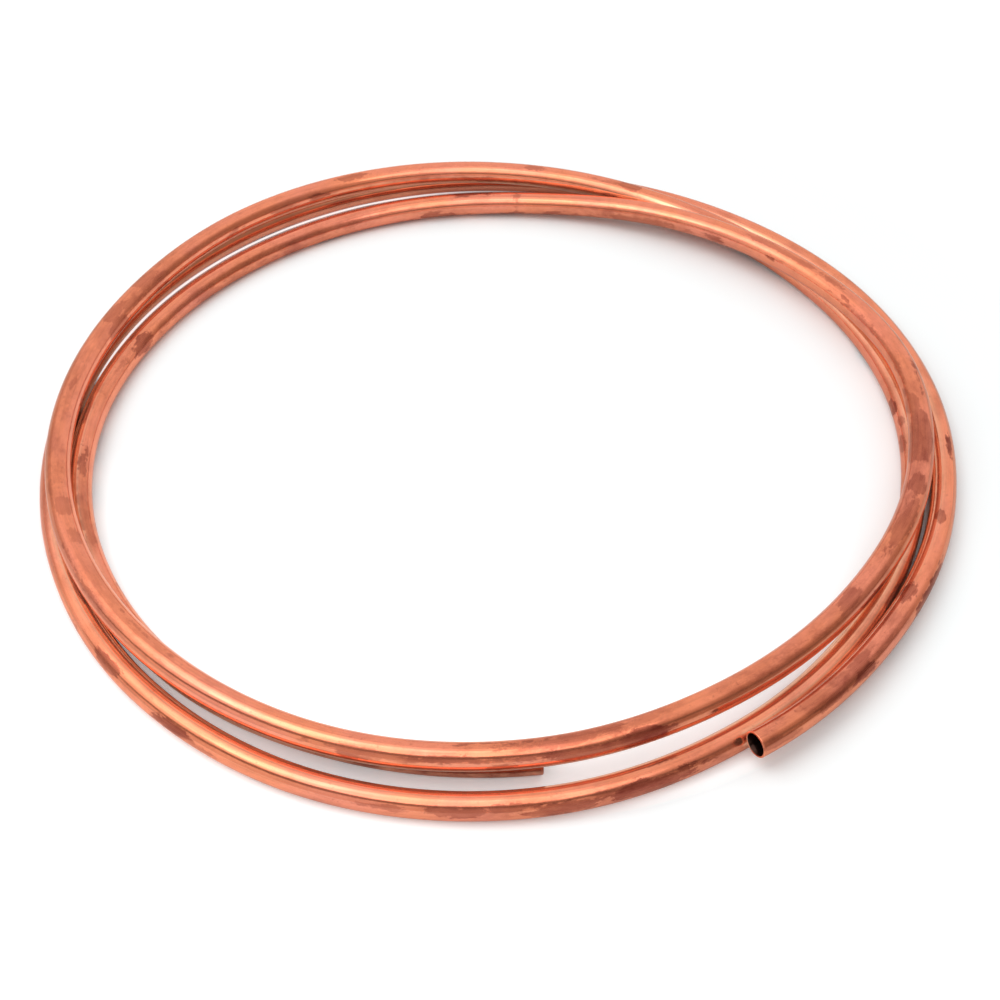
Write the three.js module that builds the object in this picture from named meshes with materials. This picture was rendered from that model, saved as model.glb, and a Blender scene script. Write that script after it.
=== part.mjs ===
// A coil of soft copper tube: one length of bare round tube, wound by hand into three loose turns.
//
// Millimetres, +Z up. The coil lies flat on the plane z = 0, and the origin is on that plane,
// under the middle of the coil. Angles are in degrees, counted from +X towards +Y.

import * as THREE from "three";

// The tube
const tubeDiameter = 10;
const wallThickness = 0.8;

// The coil: the radius of its middle lane, measured to the tube's axis, and the air between
// two turns that lie side by side or one on the other
const laneRadius = 172;
const turnClearance = 0.5;

// The route of the tube's axis, as a waypoint every few degrees from the lifted end inwards.
// A lane counts tubes outwards from the middle lane, and a layer counts tubes up from the
// lowest one, so that turns which lie together stay together whatever the tube's size is.
const startAngle = 298.3;
const waypointAngle = 24.02;
const outerTurn = {
  lanes: [1.01, 0.5, 0.48, 0.68, 0.85, 0.85, 0.8, 0.81, 0.77, 0.62, 0.5, 0.61, 0.93, 1.1, 0.8],
  layers: [0.58, 0.35, 0.07, 0.04, 0.02, 0, 0.03, 0.11, 0.11, 0.07, 0.01, 0, 0, 0.01, 0.01],
};
const middleTurn = {
  lanes: [0.13, -0.44, -0.6, -0.4, -0.17, -0.07, 0.1, 0.31, 0.37, 0.24, 0.18, 0.16, 0.11, -0.04, -0.44],
  layers: [0.01, 0, 0, 0.01, 0.07, 0.4, 0.79, 1.02, 1.1, 1, 0.98, 0.99, 0.99, 0.94, 0.94],
};
const innerTurn = {
  lanes: [-0.88, -0.95, -0.58, -0.27, -0.66, -1.04, -1.09, -0.96, -0.85, -0.73, -0.56, -0.38, -0.3, -0.55, -0.83],
  layers: [1.02, 1.06, 1.15, 1.15, 0.98, 0.73, 0.19, 0.05, 0, 0.02, 0.1, 0.15, 0.02, 0.06, 0.01],
};
const turns = [outerTurn, middleTurn, innerTurn];

// Facets: points round the tube in each quarter, and steps along it in each turn
const curveSegments = 7;
const stepsPerTurn = 68;

const copper = new THREE.MeshStandardMaterial({
  name: "copper",
  color: new THREE.Color(0.72, 0.42, 0.31),
  roughness: 0.38,
  metalness: 1,
});

// The tube's axis, from the lifted end on the outside to the plain end on the inside
class CoilRoute extends THREE.Curve {
  constructor() {
    super();
    const lanes = turns.flatMap((turn) => turn.lanes);
    const layers = turns.flatMap((turn) => turn.layers);
    const waypoints = lanes.map((lane, index) => [lane, layers[index]]);
    this.spanCount = waypoints.length - 1;
    this.interpolant = new THREE.CubicInterpolant([...waypoints.keys()], waypoints.flat(), 2, [0, 0]);
  }

  get turnCount() {
    return (this.spanCount * waypointAngle) / 360;
  }

  getPoint(t, target = new THREE.Vector3()) {
    const position = t * this.spanCount;
    const [lane, layer] = this.interpolant.evaluate(position);
    const turnPitch = tubeDiameter + turnClearance;
    const angle = THREE.MathUtils.degToRad(startAngle + position * waypointAngle);
    const radius = laneRadius + lane * turnPitch;
    const height = tubeDiameter / 2 + layer * turnPitch;
    return target.set(radius * Math.cos(angle), radius * Math.sin(angle), height);
  }
}

// The tube's section: a round outside with a round bore
function tubeSection() {
  const outerRadius = tubeDiameter / 2;
  const boreRadius = outerRadius - wallThickness;
  const section = new THREE.Shape();
  section.absarc(0, 0, outerRadius, 0, 2 * Math.PI);
  const bore = new THREE.Path();
  bore.absarc(0, 0, boreRadius, 0, 2 * Math.PI, true);
  section.holes.push(bore);
  return section;
}

// The tube swept along its route, with both ends cut square
function copperTube() {
  const route = new CoilRoute();
  const steps = Math.round(route.turnCount * stepsPerTurn);
  route.arcLengthDivisions = 4 * steps;
  const geometry = new THREE.ExtrudeGeometry(tubeSection(), { steps, curveSegments, extrudePath: route });
  geometry.computeBoundingBox();
  const middle = geometry.boundingBox.getCenter(new THREE.Vector3());
  geometry.translate(-middle.x, -middle.y, -geometry.boundingBox.min.z);
  const tube = new THREE.Mesh(geometry, copper);
  tube.name = "copper_tube";
  return tube;
}

const coil = new THREE.Group();
coil.name = "copper_tube_coil";
coil.add(copperTube());

export default coil;
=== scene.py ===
"""The looks of a coil of bare copper tube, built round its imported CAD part. Metres, +Z up."""

import math

import bpy
import numpy as np
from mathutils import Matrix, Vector

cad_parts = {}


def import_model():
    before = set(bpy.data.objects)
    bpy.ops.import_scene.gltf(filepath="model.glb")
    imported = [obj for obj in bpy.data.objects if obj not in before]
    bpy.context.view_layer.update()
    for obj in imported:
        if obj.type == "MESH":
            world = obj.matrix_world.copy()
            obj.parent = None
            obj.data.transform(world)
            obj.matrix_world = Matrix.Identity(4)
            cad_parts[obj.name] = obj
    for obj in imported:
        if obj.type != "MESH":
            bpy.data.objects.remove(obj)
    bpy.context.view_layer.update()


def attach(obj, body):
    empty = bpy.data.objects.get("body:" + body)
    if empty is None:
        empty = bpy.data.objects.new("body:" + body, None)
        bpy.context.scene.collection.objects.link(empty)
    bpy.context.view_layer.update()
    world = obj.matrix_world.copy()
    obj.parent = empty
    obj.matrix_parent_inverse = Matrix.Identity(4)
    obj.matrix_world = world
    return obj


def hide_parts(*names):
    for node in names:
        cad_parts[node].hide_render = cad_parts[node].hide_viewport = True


# The tube and its route, the same sizes and waypoints as the CAD part's, here in metres. A lane counts
# tubes outwards from the middle lane, and a layer counts tubes up from the lowest one, a turn to a row.
TUBE_RADIUS = 0.005
BORE_RADIUS = 0.0042
LANE_RADIUS = 0.172
TURN_PITCH = 0.0105
START_ANGLE = 298.3
WAYPOINT_ANGLE = 24.02
LANES = [
    1.01, 0.5, 0.48, 0.68, 0.85, 0.85, 0.8, 0.81, 0.77, 0.62, 0.5, 0.61, 0.93, 1.1, 0.8,
    0.13, -0.44, -0.6, -0.4, -0.17, -0.07, 0.1, 0.31, 0.37, 0.24, 0.18, 0.16, 0.11, -0.04, -0.44,
    -0.88, -0.95, -0.58, -0.27, -0.66, -1.04, -1.09, -0.96, -0.85, -0.73, -0.56, -0.38, -0.3, -0.55, -0.83,
]
LAYERS = [
    0.58, 0.35, 0.07, 0.04, 0.02, 0, 0.03, 0.11, 0.11, 0.07, 0.01, 0, 0, 0.01, 0.01,
    0.01, 0, 0, 0.01, 0.07, 0.4, 0.79, 1.02, 1.1, 1, 0.98, 0.99, 0.99, 0.94, 0.94,
    1.02, 1.06, 1.15, 1.15, 0.98, 0.73, 0.19, 0.05, 0, 0.02, 0.1, 0.15, 0.02, 0.06, 0.01,
]
END_ANGLE = START_ANGLE + (len(LANES) - 1) * WAYPOINT_ANGLE

# The tube's direction at a point is taken between the points this many degrees before and after it
TANGENT_STEP = 0.05

# The fine mesh: points round the tube, degrees between its rings, and how many of those steps a ring of
# the bore takes. Each cut end has a small rounded lip, and the cut has roughened the metal just behind it.
SIDES = 48
DEGREES_PER_RING = 0.75
BORE_RING_SKIP = 5
LIP_RADIUS = 0.00025
LIP_STEPS = 3
CUT_REACH = 0.001

# Oxide patches with clear edges. Each is (angle along the tube, half its length in that angle,
# side of the tube, half its width in that angle, depth of tone). The side is counted from the
# coil's outside, at 0, over the top, at 90, to its inside, at 180.
PATCHES = [
    (301, 2.2, 26, 16, 0.45), (307, 2.2, 84, 34, 0.45), (308.4, 2.4, 34, 20, 0.65),
    (311.2, 1.2, 66, 12, 0.5), (314.8, 1.8, 84, 30, 0.6), (314.9, 1.9, 34, 24, 0.85),
    (320.5, 2.5, 62, 16, 0.4), (328.3, 2, 104, 34, 0.8), (331.4, 5.4, 16, 28, 0.9),
    (342.9, 1.2, 94, 24, 0.6), (356.3, 3.2, 60, 15, 0.95), (376, 2, 172, 26, 0.5),
    (389.8, 1, 158, 8, 0.7), (396, 6, 140, 10, 0.5), (409, 4, 150, 9, 0.4), (430, 1.6, 88, 30, 0.4),
    (477, 2, 95, 14, 0.45), (507.5, 3, 88, 22, 0.45), (515.5, 2.6, 95, 24, 0.6),
    (520.5, 1.8, 112, 12, 0.45), (531.2, 1.6, 94, 24, 0.45), (571, 3, 14, 6, 0.5),
    (581.6, 2.6, 34, 26, 0.7), (592.8, 2.6, 14, 28, 0.8), (596.5, 2, 2, 7, 0.5),
    (618.8, 2, 24, 14, 0.5), (625.4, 3.4, 32, 22, 0.65), (631, 2.2, 42, 12, 0.6),
    (636.4, 3.6, 16, 36, 0.75), (641, 2, 42, 12, 0.6), (646.2, 6, 22, 34, 0.8),
    (649, 1.6, 100, 14, 0.5), (652.6, 2.2, 34, 12, 0.8), (656.4, 1.6, 40, 10, 0.8),
    (678, 2, 20, 20, 0.5), (717.3, 1.6, 150, 20, 0.6), (721.4, 1.2, 142, 16, 0.5),
    (725.7, 2.2, 168, 30, 0.8), (748, 3, 96, 24, 0.45), (762.3, 0.8, 150, 10, 0.8),
    (789.4, 1.8, 100, 32, 0.55), (794, 2.6, 104, 16, 0.35), (804.5, 1.8, 96, 26, 0.5),
    (812, 4.4, 185, 16, 0.55), (833.5, 2.2, 100, 24, 0.55), (838.6, 1.8, 165, 18, 0.65),
    (845, 2.4, 168, 14, 0.5), (856, 2.6, 172, 14, 0.5), (869.6, 1.4, 186, 18, 0.6),
    (871.5, 2.4, 96, 42, 0.5), (876.5, 3.4, 138, 26, 0.5), (879.5, 2.8, 86, 40, 0.55),
    (880.4, 2.6, 156, 30, 0.6), (894.8, 1.6, 108, 22, 0.5), (915, 3, 54, 14, 0.4),
    (918.6, 2, 104, 40, 0.45), (924.4, 1.6, 108, 24, 0.4), (933.5, 5, 46, 12, 0.5),
    (943, 3.4, 102, 12, 0.45), (941, 4, 56, 10, 0.45), (973, 1.8, 16, 18, 0.55), (975, 5, 36, 12, 0.4),
    (986, 8, 36, 9, 0.6), (989.8, 1.4, 0, 20, 0.6), (989, 3.2, 112, 9, 0.65),
    (993.5, 3.2, 104, 13, 0.7), (996, 7, 86, 22, 0.6), (1002.6, 2.4, 100, 24, 0.65),
    (1001.4, 7, 24, 26, 0.75), (1006.6, 2.8, 24, 46, 0.85), (1007.5, 2.2, 84, 22, 0.4),
    (1040.4, 2.4, 84, 38, 0.6), (1043.4, 3.4, 6, 16, 0.9), (1056.4, 5, 88, 38, 0.65),
    (1064.4, 2.2, 82, 48, 0.75), (1073.6, 5.6, 104, 68, 0.7), (1080.5, 1.8, 142, 48, 0.6),
    (1082.8, 1.6, 156, 16, 0.7), (1086, 2.6, 70, 9, 0.75), (1091, 8, 146, 8, 0.55),
    (1106.4, 2, 128, 9, 0.65), (1109.5, 2, 95, 18, 0.45), (1118, 9, 100, 20, 0.4),
    (1120.6, 1.1, 157, 8, 0.7), (1131.8, 2.2, 192, 26, 0.65), (1136.4, 1.8, 196, 18, 0.6),
    (1145.6, 6, 198, 26, 0.6), (1162, 10, 216, 16, 0.8), (1166.8, 0.8, 112, 46, 0.45),
    (1174.7, 3.6, 80, 18, 0.8), (1178, 6, 214, 16, 0.75), (1181.6, 1.6, 188, 28, 0.65),
    (1203, 2.6, 178, 16, 0.4), (1206.2, 2.2, 196, 30, 0.6), (1213, 3.4, 184, 13, 0.4),
    (1224, 3, 186, 24, 0.5), (1229.6, 4.6, 152, 22, 0.4), (1233, 2.4, 162, 13, 0.6),
    (1240.4, 2.8, 142, 46, 0.75), (1246, 2, 122, 16, 0.45), (1267, 2.7, 112, 24, 0.65),
    (1278.4, 4.4, 108, 26, 0.55), (1282, 1.6, 118, 30, 0.5), (1291.4, 1.4, 150, 12, 0.8),
    (1296.6, 2, 94, 16, 0.4), (1331.6, 2, 42, 13, 0.55), (1350, 1.2, 40, 18, 0.55),
    (1352.6, 1.6, 74, 14, 0.5),
]

# Stretches that have dulled softly, in the same five numbers. The last, at 1344 on the tube's outside, is no
# oxide but painted shade on the inner end, which lies in the raised turn's shade.
CLOUDS = [
    (309, 15, 84, 50, 0.35), (380, 24, 176, 34, 0.3), (505, 22, 92, 46, 0.4), (546, 14, 120, 50, 0.25),
    (640, 18, 26, 46, 0.35), (690, 16, 30, 40, 0.3), (750, 12, 110, 30, 0.3), (815, 22, 178, 24, 0.3),
    (872, 12, 110, 70, 0.3), (905, 16, 96, 54, 0.25), (938, 10, 60, 50, 0.25), (1000, 13, 80, 70, 0.45),
    (1032, 14, 70, 60, 0.3), (1060, 24, 100, 90, 0.3), (1096, 12, 146, 22, 0.3),
    (1146, 14, 176, 46, 0.35), (1212, 30, 162, 40, 0.4), (1250, 12, 120, 40, 0.3),
    # The stretch at 1344 is painted shade, not oxide: the inner end lies in the raised turn's shade.
    (1277, 10, 110, 40, 0.3), (1334, 14, 36, 26, 0.3), (1344, 14, 0, 55, 0.6),
]

# The power in a patch's outline: 2 makes an oval, and more makes it squarer
PATCH_ROUNDNESS = 2.1

# Patches of the same kind, drawn at random over the sides that PATCHES leaves out. The sides that face
# the photo's camera lie round SHOWN_SIDE at the coil's left and right. They swing by SHOWN_SWING to the
# tube's inner side at the back of the coil, and to its outer side in front.
FAR_PATCHES = 170
FAR_SEED = 11
FAR_SPREAD = 75
FAR_HALF_LENGTHS = (0.7, 4.5)
FAR_HALF_WIDTHS = (8, 38)
FAR_DEPTHS = (0.3, 0.9)
SHOWN_SIDE = 97
SHOWN_SWING = 47

# A point that is further than this outside every patch's edge counts as this far, in millimetres
FAR_OUTSIDE = -10.0

# A point fully faces the turns next to it where another turn's axis lies straight in front of it and this
# close
FULL_FACING_DISTANCE = 2 * TUBE_RADIUS

# Colours of the bare copper, of copper between two turns, of the oxide and of the inside of the bore. The
# copper between two turns is painted paler, a painted reflection that offsets the deep red of copper
# mirroring copper. The bore's inside is painted near black, which is painted shade, and the oxide colour
# also paints the shade on the inner end.
ORANGE_COPPER = (0.98, 0.31, 0.16)
SALMON_COPPER = (0.97, 0.31, 0.19)
COPPER_PAINTED_PALE_BETWEEN_TURNS = (1.0, 0.52, 0.33)
OXIDE_AND_SHADE = (0.27, 0.048, 0.03)
PAINTED_BORE_SHADE = (0.03, 0.012, 0.009)

# The bore's painted shade starts at the first of these distances from the tube's axis and is full at the
# second
BORE_EDGE = (BORE_RADIUS + 0.0001, BORE_RADIUS + 0.00003)

# A thin film of oxide keeps the surface from being all metal, and warms what it mirrors at a slant
METALLIC = 0.88
SLANT_TINT = (1, 0.86, 0.76)

# The noises of the finish. Each is (factors on the directions along the tube and across it, scale,
# detail, roughness). A small first factor draws the noise out along the tube.
RAGGED_EDGES = ((0.45, 1, 1), 170, 7, 0.75)
MOTTLE = ((0.5, 1, 1), 170, 6, 0.7)
WIPES = ((0.05, 1, 1), 600, 3, 0.6)
BLOTCHES = ((0.45, 1, 1), 95, 6, 0.65)
SPECKS = ((1, 1, 1), 700, 3, 0.6)
DRIFT = ((0.4, 1, 1), 60, 3, 0.6)
FINE_STREAKS = ((0.02, 1, 1), 1300, 3, 0.6)
BROAD_STREAKS = ((0.04, 1, 1), 420, 3, 0.6)
WAVES = ((0.35, 1, 1), 75, 4, 0.5)
SCRATCHES = ((1, 0.08, 0.08), 1500, 2, 0.6)

# How the noises show. Each is (noise from, noise to, amount at the first, amount at the second), and the
# amount is in millimetres for a patch's edge, a share of oxide, a factor on the colour, or a roughness.
EDGE_WANDER = (0.3, 0.7, -2.1, 2.1)
PATCH_MOTTLE = (0.35, 0.65, 0.8, 1.2)
PATCH_WEAR = (0.38, 0.6, 1.06, 0.88)
CLOUD_MOTTLE = (0.38, 0.62, 0.4, 1.4)
FAINT_BLOTCHES = (0.5, 0.66, 0, 0.2)
FAINT_MOTTLE = (0.47, 0.62, 0, 0.12)
FAINT_SPECKS = (0.64, 0.7, 0, 0.22)
FINE_SHADE = (0.3, 0.52, 0.9, 1)
BROAD_SHADE = (0.3, 0.5, 0.92, 1)
STREAK_ROUGHNESS = (0.3, 0.7, -0.03, 0.05)

# The same without amounts, from 0 to 1: the millimetres inside its edge over which a patch fades in, and
# the noise over which the bare metal turns from orange to salmon
PATCH_EDGE = (-0.3, 0.4)
SALMON_DRIFT = (0.35, 0.65)

# The roughness of bare and of fully oxidised copper, and what a fresh cut adds
BARE_ROUGHNESS = 0.13
OXIDE_ROUGHNESS = 0.3
CUT_ROUGHNESS = 0.12

# The relief: the height of the slow waves, and that of the streaks and scratches with their shares in it
WAVE_HEIGHT = 0.00022
FINE_HEIGHT = 0.00001
FINE_STRENGTH = 0.5
STREAK_SHARE = 0.6
SCRATCH_SHARE = 0.25

# The camera, placed from the point on the floor that it looks at, before the coil is centred. Its axis
# meets the picture half a pixel to the right of the middle and half a pixel below it.
IMAGE_SIZE = 1000
HALF_PIXEL = 0.5 / IMAGE_SIZE
SENSOR_WIDTH = 36.0
FOCAL_PIXELS = 1742.0
VIEW_ELEVATION = 44.555
VIEW_DISTANCE = 0.68593
VIEW_TARGET = (0.0008, -0.0323)

# The studio's walls. Radiances are those that the tube mirrors, where 1 renders white. Each lobe is a soft
# spot: (azimuth, elevation, radius of its even part, radius where it ends, radiance), with its angles in
# degrees. They lie low in front, low at the back on the left, low on the right, and high on the left.
WALL_LEVEL = 0.88
DARKEST_LEVEL = 0.3
WALL_LOBES = [
    (-90, 15, 10, 50, 0.78),
    (142, 4, 8, 28, 0.6),
    (-18, 14, 12, 52, DARKEST_LEVEL),
    (170, 46, 8, 36, 1.2),
]

# The tint of what is dark in the studio
DARK_TINT = (1, 0.8, 0.68)

# The dark card: it runs between two angles round the camera's side, and its lower and upper edges rise
# by these slopes towards the front
CARD_RADIUS = 0.43
CARD_ANGLES = (188, 352)
CARD_SLOPES = (0.43, 0.75)
CARD_STEPS = 48
CARD_LEVEL = 0.2

# The lamps: (place, turn about the vertical, size, radiance). They hang at different heights, so that
# the tube mirrors the sum of those that lie behind each other.
LAMPS = {
    "halo_lamp": ((-0.7, 0.02, 1.04), 0, (1.8, 0.84), 0.45),
    "wide_lamp": ((-0.2, -0.48, 1.0), -8, (1.5, 0.92), 1.1),
    "near_lamp": ((-0.72, -0.16, 1.02), 0, (0.9, 0.8), 0.65),
}

# The floor: half its width, and its colours as the camera sees it and as the tube mirrors it. The tube
# mirrors it darker to the right and far left: (x from, x to, share at the first, share at the second).
FLOOR_REACH = 6.0
SEEN_FLOOR = (0.92, 0.965, 0.975)
MIRRORED_FLOOR = (0.86, 0.95, 1)
RIGHT_SHADE = (-0.1, 0.3, 1, 0.65)
FAR_LEFT_SHADE = (-0.2, -0.17, 0.65, 1)

# Areas of the floor that are made brighter. Each row is a fade: what it goes by, where it starts and
# where it is complete. It goes by x, y, the distance from the middle, or the distance from a line in
# the gap between the turns at the back on the left. The line's own distance from the middle grows with
# y: (y from, y to, distance at the first, distance at the second).
EYE_IN_FRONT = [("y", 0, -0.06), ("x", 0.14, 0.07), ("radius", 0.185, 0.181)]
FRONT_LEFT = [("y", -0.02, -0.12), ("x", 0.05, -0.03)]
FAR_OFF = [("radius", 0.24, 0.3)]
GAP = [("radius", 0.165, 0.168), ("radius", 0.184, 0.179), ("y", 0.02, 0.025), ("x", -0.02, -0.05)]
GAP_LINE = [("off_line", 0.0009, 0.0005), ("y", 0.038, 0.044), ("x", 0.02, -0.05)]
LINE_COURSE = (0.046, 0.168, 0.1757, 0.1803)
PALE_GLOW = 0.22
LINE_GLOW = 0.75
MIRRORED_GAP_GLOW = 0.12


def spline(values, position):
    """The cubic through every waypoint that the CAD part's route follows. Its slope at a waypoint is the
    mean of those of the two spans that meet there, and at each end it is that of the one span."""
    values = np.asarray(values, float)
    padded = np.concatenate([[2 * values[0] - values[1]], values, [2 * values[-1] - values[-2]]])
    index = np.clip(position.astype(int), 0, len(values) - 2)
    before, start, end, after = (padded[index + k] for k in range(4))
    p = position - index
    start_slope = (end - before) / 2
    end_slope = (after - start) / 2
    return (
        (2 * p**3 - 3 * p**2 + 1) * start
        + (p**3 - 2 * p**2 + p) * start_slope
        + (3 * p**2 - 2 * p**3) * end
        + (p**3 - p**2) * end_slope
    )


def route(angle):
    """Points on the tube's axis at these angles, in degrees counted along the tube."""
    position = (angle - START_ANGLE) / WAYPOINT_ANGLE
    radius = LANE_RADIUS + spline(LANES, position) * TURN_PITCH
    height = TUBE_RADIUS + spline(LAYERS, position) * TURN_PITCH
    turn = np.radians(angle)
    return np.stack([radius * np.cos(turn), radius * np.sin(turn), height], axis=-1)


def tube_frames(angle):
    """The directions square to the tube that point out of the coil and up, a row for each angle."""
    ahead = np.minimum(angle + TANGENT_STEP, END_ANGLE)
    behind = np.maximum(angle - TANGENT_STEP, START_ANGLE)
    along = route(ahead) - route(behind)
    along /= np.linalg.norm(along, axis=1)[:, None]
    turn = np.radians(angle)
    radial = np.stack([np.cos(turn), np.sin(turn), np.zeros(len(turn))], axis=-1)
    outward = radial - along * np.sum(radial * along, axis=1)[:, None]
    outward /= np.linalg.norm(outward, axis=1)[:, None]
    return outward, np.cross(outward, along)


def end_rings(end_angle, inwards):
    """The rings round one cut end, from the outside over the lip to the bore. Inwards is the sign of the
    way into the tube."""
    inset = inwards * math.degrees(LIP_RADIUS / LANE_RADIUS)
    rings = [(end_angle + inwards * math.degrees(CUT_REACH / LANE_RADIUS), TUBE_RADIUS, 0)]
    for turn in np.linspace(0, math.pi / 2, LIP_STEPS + 1):
        angle = end_angle + inset * (1 - math.sin(turn))
        rings.append((angle, TUBE_RADIUS - LIP_RADIUS * (1 - math.cos(turn)), 1))
    rings.append((end_angle, BORE_RADIUS + LIP_RADIUS / 2, 1))
    rings.append((end_angle + inset / 2, BORE_RADIUS, 0))
    return rings


def tube_rings():
    """The rings of the closed wall, in order: outside, far lip, bore back again, near lip.
    Each is (angle, radius, 1 where the metal is freshly cut)."""
    count = round((END_ANGLE - START_ANGLE) / DEGREES_PER_RING)
    angles = np.linspace(START_ANGLE, END_ANGLE, count + 1)
    outside = [(angle, TUBE_RADIUS, 0) for angle in angles[1:-1]]
    bore = [(angle, BORE_RADIUS, 0) for angle in angles[::-BORE_RING_SKIP][1:-1]]
    near_end = end_rings(START_ANGLE, 1)
    return np.array(outside + end_rings(END_ANGLE, -1) + bore + near_end[::-1])


def far_patches():
    """Random patches, each on a side of the tube that faces down or away from the coil's front."""
    draw = np.random.default_rng(FAR_SEED)
    patches = []
    for _ in range(FAR_PATCHES):
        angle = draw.uniform(START_ANGLE, END_ANGLE)
        hidden_side = SHOWN_SIDE + SHOWN_SWING * math.sin(math.radians(angle)) + 180
        side = hidden_side + draw.uniform(-FAR_SPREAD, FAR_SPREAD)
        half_length = draw.uniform(*FAR_HALF_LENGTHS)
        patches.append((angle, half_length, side, draw.uniform(*FAR_HALF_WIDTHS), draw.uniform(*FAR_DEPTHS)))
    return patches


def place_in(patch, angle, side):
    """Where each point lies in a patch, along it and across it: 0 in its middle and 1 or -1 at its edge."""
    centre, half_length, centre_side, half_width, _ = patch
    along = (angle - centre) / half_length
    across = ((side - centre_side + 180) % 360 - 180) / half_width
    return along, across


def patch_distance(patch, angle, side):
    """How far each point lies inside a patch's edge, in millimetres. It is negative outside."""
    along, across = place_in(patch, angle, side)
    reach = (np.abs(along) ** PATCH_ROUNDNESS + np.abs(across) ** PATCH_ROUNDNESS) ** (1 / PATCH_ROUNDNESS)
    half_length = patch[1] * math.radians(1) * LANE_RADIUS * 1000
    half_width = patch[3] * math.radians(1) * TUBE_RADIUS * 1000
    return (1 - reach) * min(half_length, half_width)


def oxide_and_shade_fields(angle, side):
    """At each point: the distance inside the nearest clear-edged patch, that patch's depth, and the tone of
    the soft stretches, one of which is painted shade."""
    distance = np.full(np.broadcast(angle, side).shape, FAR_OUTSIDE)
    depth = np.zeros(distance.shape)
    for patch in PATCHES + far_patches():
        here = patch_distance(patch, angle, side)
        nearer = here > distance
        distance = np.where(nearer, here, distance)
        depth = np.where(nearer, patch[-1], depth)
    tone = np.zeros(distance.shape)
    for cloud in CLOUDS:
        along, across = place_in(cloud, angle, side)
        tone = np.maximum(tone, cloud[-1] * np.exp(-(along**2 + across**2)))
    return distance, depth, tone


def turn_facing(points, normals, angle):
    """How squarely and closely each point on the outside faces the turns next to it, from 0 to 1."""
    facing = np.zeros(points.shape[:2])
    for turns in (-2, -1, 1, 2):
        beside = angle + 360 * turns
        there = (beside > START_ANGLE) & (beside < END_ANGLE)
        towards = route(np.clip(beside, START_ANGLE, END_ANGLE))[:, None] - points
        distance = np.linalg.norm(towards, axis=-1)
        squareness = np.sum(towards * normals, axis=-1) / distance
        facing = np.maximum(facing, squareness * FULL_FACING_DISTANCE / distance * there[:, None])
    return np.clip(facing, 0, 1) ** 2


def add_attribute(mesh, name, kind, values):
    """Gives each point of a mesh a number or a vector that its material can read."""
    field = "vector" if kind == "FLOAT_VECTOR" else "value"
    mesh.attributes.new(name, kind, "POINT").data.foreach_set(field, values.astype(np.float32).ravel())


def wall_quads(ring_count):
    """The faces between each ring and the next. The last ring joins the first."""
    ring = np.arange(ring_count)[:, None] * SIDES
    next_ring = np.roll(ring, -1, axis=0)
    side = np.arange(SIDES)[None]
    next_side = np.roll(side, -1, axis=1)
    corners = [ring + side, ring + next_side, next_ring + next_side, next_ring + side]
    return np.stack(corners, axis=-1).reshape(-1, 4)


def centring(points):
    """The move that brings the route's tube over the origin, as the CAD part is."""
    low = points.min((0, 1))
    high = points.max((0, 1))
    return np.array([-(low[0] + high[0]) / 2, -(low[1] + high[1]) / 2, -low[2]])


def tube_mesh():
    """The tube as one closed mesh, with what the finish needs to know at each point, and the move that
    centred it."""
    angle, radius, cut = tube_rings().T
    outward, up = tube_frames(angle)
    around = np.linspace(0, 2 * math.pi, SIDES, endpoint=False)
    spoke = outward[:, None] * np.cos(around)[:, None] + up[:, None] * np.sin(around)[:, None]
    points = route(angle)[:, None] + spoke * radius[:, None, None]
    shift = centring(points)
    mesh = bpy.data.meshes.new("copper_tube_fine")
    mesh.from_pydata((points + shift).reshape(-1, 3).tolist(), [], wall_quads(len(angle)).tolist())
    mesh.polygons.foreach_set("use_smooth", np.ones(len(mesh.polygons), bool))

    every_side = np.ones(SIDES)
    along = np.outer(np.radians(angle - START_ANGLE) * LANE_RADIUS, every_side)
    straight = [along, np.outer(radius, np.cos(around)), np.outer(radius, np.sin(around))]
    distance, depth, tone = oxide_and_shade_fields(angle[:, None], np.degrees(around)[None])
    add_attribute(mesh, "tube_space", "FLOAT_VECTOR", np.stack(straight, axis=-1))
    add_attribute(mesh, "patch_distance", "FLOAT", distance)
    add_attribute(mesh, "patch_depth", "FLOAT", depth)
    add_attribute(mesh, "cloud_tone", "FLOAT", tone)
    add_attribute(mesh, "fresh_cut", "FLOAT", np.outer(cut, every_side))
    # How squarely each point faces the next turns. It is the mask for the copper painted paler and the
    # streaks painted out between the turns, a painted reflection.
    add_attribute(mesh, "turn_facing", "FLOAT", turn_facing(points, spoke, angle))
    mesh.update()
    return mesh, shift


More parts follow.
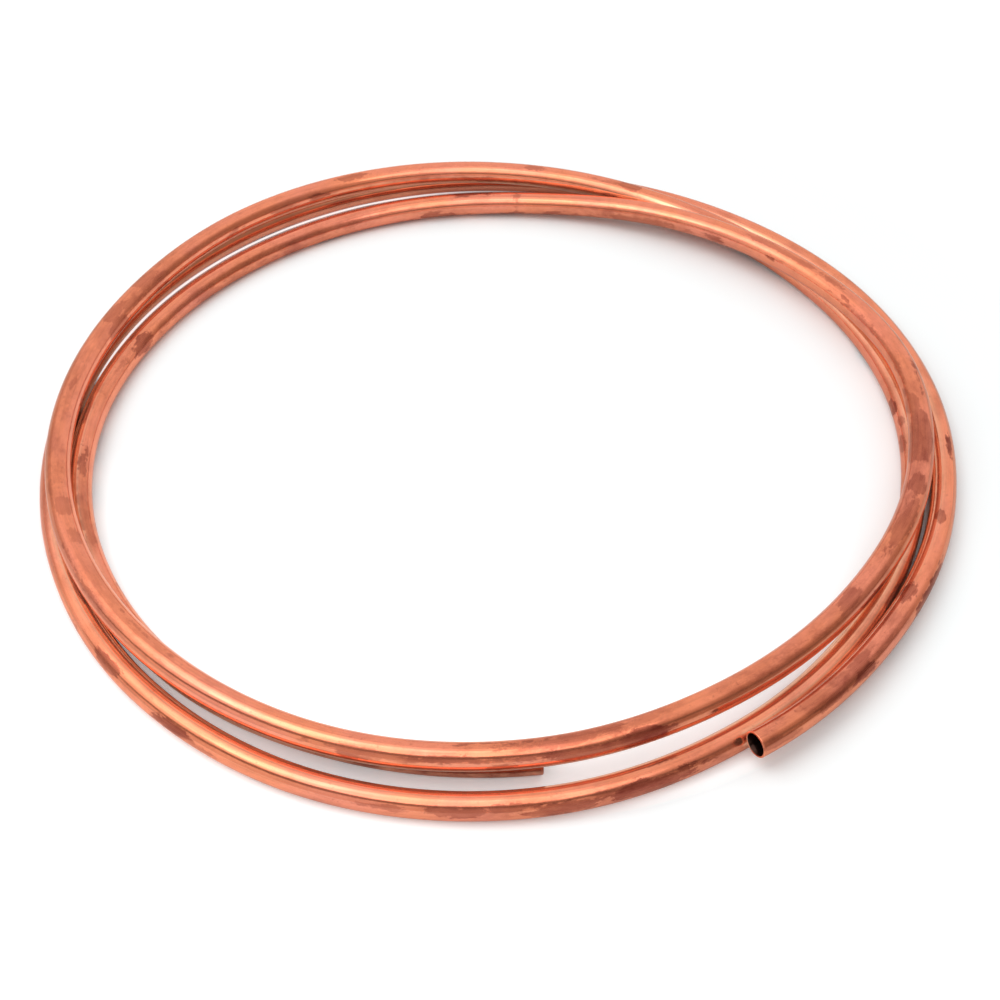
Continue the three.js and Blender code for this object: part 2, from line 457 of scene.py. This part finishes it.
class Graph:
    """A material's or the world's node tree, with short ways to add what is used more than once."""

    def __init__(self, owner):
        owner.use_nodes = True
        self.nodes = owner.node_tree.nodes
        self.links = owner.node_tree.links
        self.nodes.clear()

    def put(self, socket, value):
        if isinstance(value, bpy.types.NodeSocket):
            self.links.new(value, socket)
        else:
            socket.default_value = value

    def add(self, kind, inputs=None, **settings):
        node = self.nodes.new("ShaderNode" + kind)
        for name, value in settings.items():
            setattr(node, name, value)
        for name, value in (inputs or {}).items():
            self.put(node.inputs[name], value)
        return node

    def attribute(self, name, output="Fac"):
        return self.add("Attribute", attribute_name=name).outputs[output]

    def math(self, operation, first, second=0.0, third=0.0):
        return self.add("Math", {0: first, 1: second, 2: third}, operation=operation).outputs[0]

    def product(self, first, *others):
        for other in others:
            first = self.math("MULTIPLY", first, other)
        return first

    def total(self, first, *others):
        for other in others:
            first = self.math("ADD", first, other)
        return first

    def scaled(self, vector, factors):
        return self.add("VectorMath", {0: vector, 1: factors}, operation="MULTIPLY").outputs[0]

    def length(self, vector):
        return self.add("VectorMath", {0: vector}, operation="LENGTH").outputs["Value"]

    def noise(self, vector, factors, scale, detail, roughness):
        stretched = self.scaled(vector, factors)
        inputs = {"Vector": stretched, "Scale": scale, "Detail": detail, "Roughness": roughness}
        return self.add("TexNoise", inputs).outputs["Fac"]

    def ramp(self, value, low, high, to_low=0.0, to_high=1.0, smooth=False):
        inputs = {"Value": value, "From Min": low, "From Max": high, "To Min": to_low, "To Max": to_high}
        shape = "SMOOTHSTEP" if smooth else "LINEAR"
        return self.add("MapRange", inputs, interpolation_type=shape).outputs["Result"]

    def blend(self, factor, first, second, how="MIX"):
        node = self.add("Mix", data_type="RGBA", blend_type=how)
        self.put(node.inputs["Factor"], factor)
        for socket, colour in zip([s for s in node.inputs if s.type == "RGBA"], (first, second)):
            self.put(socket, (*colour, 1) if isinstance(colour, tuple) else colour)
        return next(s for s in node.outputs if s.type == "RGBA")


def oxide_and_shade_amount(graph, place):
    """How much oxide there is, with one stretch of painted shade: patches with ragged edges, over soft
    clouds, blotches and specks.
    """
    wander = graph.ramp(graph.noise(place, *RAGGED_EDGES), *EDGE_WANDER)
    inside = graph.total(graph.attribute("patch_distance"), wander)
    patch = graph.product(graph.ramp(inside, *PATCH_EDGE, smooth=True), graph.attribute("patch_depth"))
    mottle = graph.noise(place, *MOTTLE)
    wipes = graph.noise(place, *WIPES)
    patch = graph.product(patch, graph.ramp(mottle, *PATCH_MOTTLE), graph.ramp(wipes, *PATCH_WEAR))
    cloud = graph.product(graph.attribute("cloud_tone"), graph.ramp(mottle, *CLOUD_MOTTLE))
    blotches = graph.ramp(graph.noise(place, *BLOTCHES), *FAINT_BLOTCHES)
    specks = graph.ramp(graph.noise(place, *SPECKS), *FAINT_SPECKS)
    soft = graph.total(cloud, blotches, graph.ramp(mottle, *FAINT_MOTTLE), specks)
    return graph.math("MAXIMUM", patch, soft)


def bare_copper(graph, place):
    """Bare metal that drifts between orange and salmon. Between the turns copper mirrors copper, which
    reddens it, so its colour is painted paler there: a painted reflection."""
    drift = graph.ramp(graph.noise(place, *DRIFT), *SALMON_DRIFT, smooth=True)
    bare = graph.blend(drift, ORANGE_COPPER, SALMON_COPPER)
    return graph.blend(graph.attribute("turn_facing"), bare, COPPER_PAINTED_PALE_BETWEEN_TURNS)


def streak_shade(graph, place, streaks):
    """The dark streaks that the drawing die left along the tube. Between the turns they are painted out, as
    part of the painted reflection that lifts the copper there.
    """
    broad = graph.noise(place, *BROAD_STREAKS)
    shade = graph.product(graph.ramp(streaks, *FINE_SHADE), graph.ramp(broad, *BROAD_SHADE))
    shade = graph.math("MAXIMUM", shade, graph.attribute("turn_facing"))
    return graph.add("CombineColor", {"Red": shade, "Green": shade, "Blue": shade}).outputs[0]


def relief(graph, place, streaks):
    """The slow waves of a hand-bent tube, with fine streaks along it and scratches across it."""
    waves = {"Height": graph.noise(place, *WAVES), "Strength": 1.0, "Distance": WAVE_HEIGHT}
    waviness = graph.add("Bump", waves).outputs[0]
    scratches = graph.product(graph.noise(place, *SCRATCHES), SCRATCH_SHARE)
    fine = graph.total(graph.product(streaks, STREAK_SHARE), scratches)
    lines = {"Height": fine, "Strength": FINE_STRENGTH, "Distance": FINE_HEIGHT, "Normal": waviness}
    return graph.add("Bump", lines).outputs[0]


def copper_material():
    """Bare annealed copper: satin, with drawing streaks and brown oxide patches. The bore is painted near
    black as painted shade, the colour is painted paler between the turns as a painted reflection, and one
    stretch of painted shade darkens the inner end.
    """
    material = bpy.data.materials.new("bare_copper")
    graph = Graph(material)
    place = graph.attribute("tube_space", "Vector")
    streaks = graph.noise(place, *FINE_STREAKS)
    oxide_and_shade = oxide_and_shade_amount(graph, place)
    coloured = graph.blend(oxide_and_shade, bare_copper(graph, place), OXIDE_AND_SHADE)
    coloured = graph.blend(1.0, coloured, streak_shade(graph, place, streaks), "MULTIPLY")
    # The inside of the bore is painted near black: painted shade
    across = graph.scaled(place, (0, 1, 1))
    in_bore = graph.ramp(graph.length(across), *BORE_EDGE)
    coloured = graph.blend(in_bore, coloured, PAINTED_BORE_SHADE)
    dulled = graph.ramp(oxide_and_shade, 0, 1, BARE_ROUGHNESS, OXIDE_ROUGHNESS)
    cut = graph.product(graph.attribute("fresh_cut"), CUT_ROUGHNESS)
    finish = {
        "Base Color": coloured,
        "Metallic": METALLIC,
        "Roughness": graph.total(dulled, graph.ramp(streaks, *STREAK_ROUGHNESS), cut),
        "Normal": relief(graph, place, streaks),
        "Specular Tint": (*SLANT_TINT, 1),
    }
    surface = graph.add("BsdfPrincipled", finish)
    graph.add("OutputMaterial", {"Surface": surface.outputs[0]})
    return material


def add_object(name, data):
    thing = bpy.data.objects.new(name, data)
    bpy.context.scene.collection.objects.link(thing)
    return thing


def floor_measures(graph):
    """What the fades on the floor go by."""
    place = graph.add("NewGeometry").outputs["Position"]
    x, y = graph.add("SeparateXYZ", {0: place}).outputs[:2]
    radius = graph.length(place)
    off_line = graph.math("SUBTRACT", radius, graph.ramp(y, *LINE_COURSE))
    return {"x": x, "y": y, "radius": radius, "off_line": graph.math("ABSOLUTE", off_line)}


def area(graph, measures, fades):
    """How much each point of the floor belongs to an area, from 0 to 1."""
    return graph.product(*[graph.ramp(measures[name], start, end) for name, start, end in fades])


def seen_glow(graph, measures):
    """The glow that only the camera sees. It makes the shadows fainter in front and inside the coil, and
    whitens the floor far off and along the line in the gap."""
    front = graph.math("MAXIMUM", area(graph, measures, EYE_IN_FRONT), area(graph, measures, FRONT_LEFT))
    pale = graph.math("MAXIMUM", front, area(graph, measures, FAR_OFF))
    line = graph.product(area(graph, measures, GAP_LINE), LINE_GLOW)
    return graph.math("MULTIPLY_ADD", pale, PALE_GLOW, line)


def floor_material():
    """Matt white, a touch cool against the warm light that the copper throws on it. The camera sees it
    brighter than the tube mirrors it."""
    material = bpy.data.materials.new("white_floor")
    graph = Graph(material)
    measures = floor_measures(graph)
    camera_rays = graph.add("LightPath").outputs["Is Camera Ray"]
    x = measures["x"]
    whiteness = graph.product(graph.ramp(x, *RIGHT_SHADE), graph.ramp(x, *FAR_LEFT_SHADE))
    mirrored = graph.blend(whiteness, (0, 0, 0), MIRRORED_FLOOR)
    colour = graph.blend(camera_rays, mirrored, SEEN_FLOOR)
    matte = graph.add("BsdfDiffuse", {"Color": colour}).outputs[0]
    mirrored_glow = graph.product(area(graph, measures, GAP), MIRRORED_GAP_GLOW)
    strength = graph.ramp(camera_rays, 0, 1, mirrored_glow, seen_glow(graph, measures))
    glow = graph.add("Emission", {"Strength": strength}).outputs[0]
    lit = graph.add("AddShader", {0: matte, 1: glow})
    graph.add("OutputMaterial", {"Surface": lit.outputs[0]})
    return material


def floor():
    """A flat square of floor under the coil."""
    mesh = bpy.data.meshes.new("floor")
    corners = [(x * FLOOR_REACH, y * FLOOR_REACH, 0) for x, y in ((-1, -1), (1, -1), (1, 1), (-1, 1))]
    mesh.from_pydata(corners, [], [(0, 1, 2, 3)])
    mesh.materials.append(floor_material())
    add_object("floor", mesh)


def dark_card():
    """A dark strip on a curve round the camera's side, higher the further it lies in front. Only the
    tube's mirror sees it, as a thin dark line."""
    turn = np.radians(np.linspace(*CARD_ANGLES, CARD_STEPS + 1))
    x = CARD_RADIUS * np.cos(turn)
    y = CARD_RADIUS * np.sin(turn)
    points = [(x[k], y[k], -slope * y[k]) for slope in CARD_SLOPES for k in range(CARD_STEPS + 1)]
    quads = [(k, k + 1, k + CARD_STEPS + 2, k + CARD_STEPS + 1) for k in range(CARD_STEPS)]
    mesh = bpy.data.meshes.new("dark_card")
    mesh.from_pydata(points, [], quads)
    material = bpy.data.materials.new("dark_card")
    graph = Graph(material)
    glow = graph.add("Emission", {"Color": (*DARK_TINT, 1), "Strength": CARD_LEVEL})
    graph.add("OutputMaterial", {"Surface": glow.outputs[0]})
    mesh.materials.append(material)
    card = add_object("dark_card", mesh)
    card.visible_camera = False
    card.visible_diffuse = False
    card.visible_shadow = False


def softbox(name, place, turn, size, radiance):
    """An oval area lamp that faces down and adds this radiance to what lies behind it."""
    light = bpy.data.lights.new(name, "AREA")
    light.shape = "ELLIPSE"
    light.size, light.size_y = size
    surface = math.pi / 4 * size[0] * size[1]
    light.energy = radiance * math.pi * surface
    lamp = add_object(name, light)
    lamp.location = place
    lamp.rotation_euler = (0, 0, math.radians(turn))


def wall_lobe(graph, direction, level, lobe):
    """The walls' radiance with one soft spot laid over it."""
    azimuth, elevation, inner, outer, radiance = lobe
    flat = math.cos(math.radians(elevation))
    towards = (
        flat * math.cos(math.radians(azimuth)),
        flat * math.sin(math.radians(azimuth)),
        math.sin(math.radians(elevation)),
    )
    nearness = graph.add("VectorMath", {0: direction, 1: towards}, operation="DOT_PRODUCT").outputs["Value"]
    edges = math.cos(math.radians(outer)), math.cos(math.radians(inner))
    spot = graph.ramp(nearness, *edges, smooth=True)
    return graph.add("Mix", {"Factor": spot, "A": level, "B": radiance}, data_type="FLOAT").outputs["Result"]


def world():
    """Pale studio walls with soft darker and brighter spots, for all but the camera, which sees white."""
    studio = bpy.data.worlds.new("studio")
    bpy.context.scene.world = studio
    graph = Graph(studio)
    direction = graph.add("TexCoord").outputs["Generated"]
    level = WALL_LEVEL
    for lobe in WALL_LOBES:
        level = wall_lobe(graph, direction, level, lobe)
    tint = graph.blend(graph.ramp(level, DARKEST_LEVEL, WALL_LEVEL), DARK_TINT, (1, 1, 1))
    walls = graph.add("Background", {"Color": tint, "Strength": level}).outputs[0]
    white = graph.add("Background", {"Color": (1, 1, 1, 1), "Strength": 1.0}).outputs[0]
    camera_rays = graph.add("LightPath").outputs["Is Camera Ray"]
    either = graph.add("MixShader", {0: camera_rays, 1: walls, 2: white})
    graph.add("OutputWorld", {"Surface": either.outputs[0]})


def camera(shift):
    """The photo's camera. It moves with the coil, which the shift has centred."""
    data = bpy.data.cameras.new("camera")
    data.sensor_width = SENSOR_WIDTH
    data.lens = FOCAL_PIXELS / IMAGE_SIZE * SENSOR_WIDTH
    data.shift_x = -HALF_PIXEL
    data.shift_y = HALF_PIXEL
    eye = add_object("camera", data)
    elevation = math.radians(VIEW_ELEVATION)
    target = np.array([*VIEW_TARGET, 0.0]) + shift
    back = np.array([0, -math.cos(elevation), math.sin(elevation)])
    eye.location = target + back * VIEW_DISTANCE
    eye.rotation_euler = Vector(-back).to_track_quat("-Z", "Y").to_euler()
    bpy.context.scene.camera = eye


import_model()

fine_mesh, shift = tube_mesh()
camera(shift)

fine_mesh.materials.append(copper_material())
tube = add_object("copper_tube_fine", fine_mesh)
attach(tube, "root")
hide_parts("copper_tube")

floor()
dark_card()
for lamp_name, lamp in LAMPS.items():
    softbox(lamp_name, *lamp)
world()

bpy.context.scene.view_settings.view_transform = "Standard"
